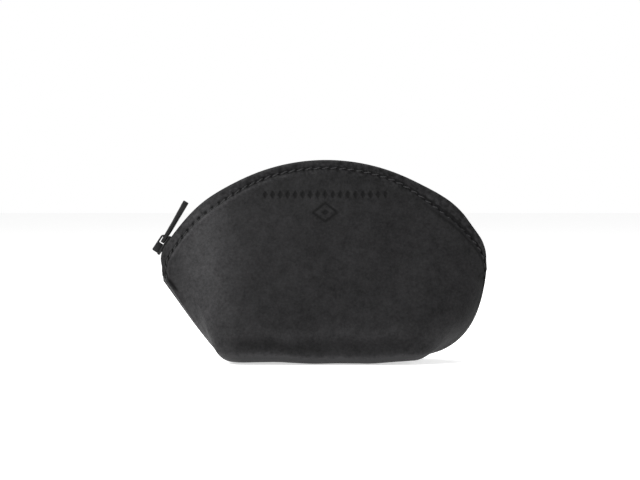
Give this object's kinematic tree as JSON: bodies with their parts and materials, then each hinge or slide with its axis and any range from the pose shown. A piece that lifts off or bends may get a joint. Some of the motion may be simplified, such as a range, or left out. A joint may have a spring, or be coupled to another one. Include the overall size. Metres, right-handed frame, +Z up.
{
  "type": "coin purse",
  "caption": "Arch-top leather coin purse with a zip round its arch, a travelling slider and puller, and a mouth that opens.",
  "frame": {"origin": "middle of the whole's bounding box in X and Y, at the table the base rests on", "axes": "+Z up, front face towards -Y, +X to the right seen from the front; the slider rests at the left"},
  "size_m": [0.1343, 0.0444, 0.0806],
  "materials": {
    "black_leather": "matte full-grain leather with a fine pebble",
    "zip_tape_cloth": "woven polyester tape",
    "zip_nylon": "satin moulded teeth",
    "black_thread": "bonded polyester thread",
    "black_enamelled_metal": "satin black enamel over die-cast zinc"
  },
  "bodies": {
    "root": {"front_panel": "black_leather", "back_panel": "black_leather", "front_tape_left": "zip_tape_cloth", "front_tape_right": "zip_tape_cloth", "back_tape_left": "zip_tape_cloth", "back_tape_right": "zip_tape_cloth", "front_teeth_left": "zip_nylon", "front_teeth_right": "zip_nylon", "back_teeth_left": "zip_nylon", "back_teeth_right": "zip_nylon", "front_top_stop": "zip_nylon", "back_top_stop": "zip_nylon", "bottom_stop": "zip_nylon", "front_thread_left": "black_thread", "front_thread_right": "black_thread", "back_thread_left": "black_thread", "back_thread_right": "black_thread", "left_seam_thread": "black_thread", "right_seam_thread": "black_thread", "base_seam_thread": "black_thread"},
    "front_flap": {"front_flap": "black_leather", "front_tape_top": "zip_tape_cloth", "front_teeth_top": "zip_nylon", "front_thread_top": "black_thread"},
    "back_flap": {"back_flap": "black_leather", "back_tape_top": "zip_tape_cloth", "back_teeth_top": "zip_nylon", "back_thread_top": "black_thread"},
    "slider": {"slider_body": "black_enamelled_metal", "slider_crown": "black_enamelled_metal"},
    "puller": {"puller": "black_enamelled_metal"}
  },
  "joints": [
    {"name": "slider_travel", "type": "hinge", "parent": "root", "child": "slider", "pos_m": [0.0025, 0, 0.0032], "axis": [0, 1, 0], "range_deg": [0, 106.5]},
    {"name": "puller_swing", "type": "hinge", "parent": "slider", "child": "puller", "pos_m": [-0.06292, 0, 0.04803], "axis": [0, 1, 0], "range_deg": [-165, 3]},
    {"name": "front_fold", "type": "hinge", "parent": "root", "child": "front_flap", "pos_m": [0.0015, -0.01016, 0.058], "axis": [1, 0, 0], "range_deg": [0, 30], "stiffness_Nm_per_rad": 0.012},
    {"name": "back_fold", "type": "hinge", "parent": "root", "child": "back_flap", "pos_m": [0.0015, 0.01016, 0.058], "axis": [-1, 0, 0], "range_deg": [0, 30], "stiffness_Nm_per_rad": 0.012}
  ]
}
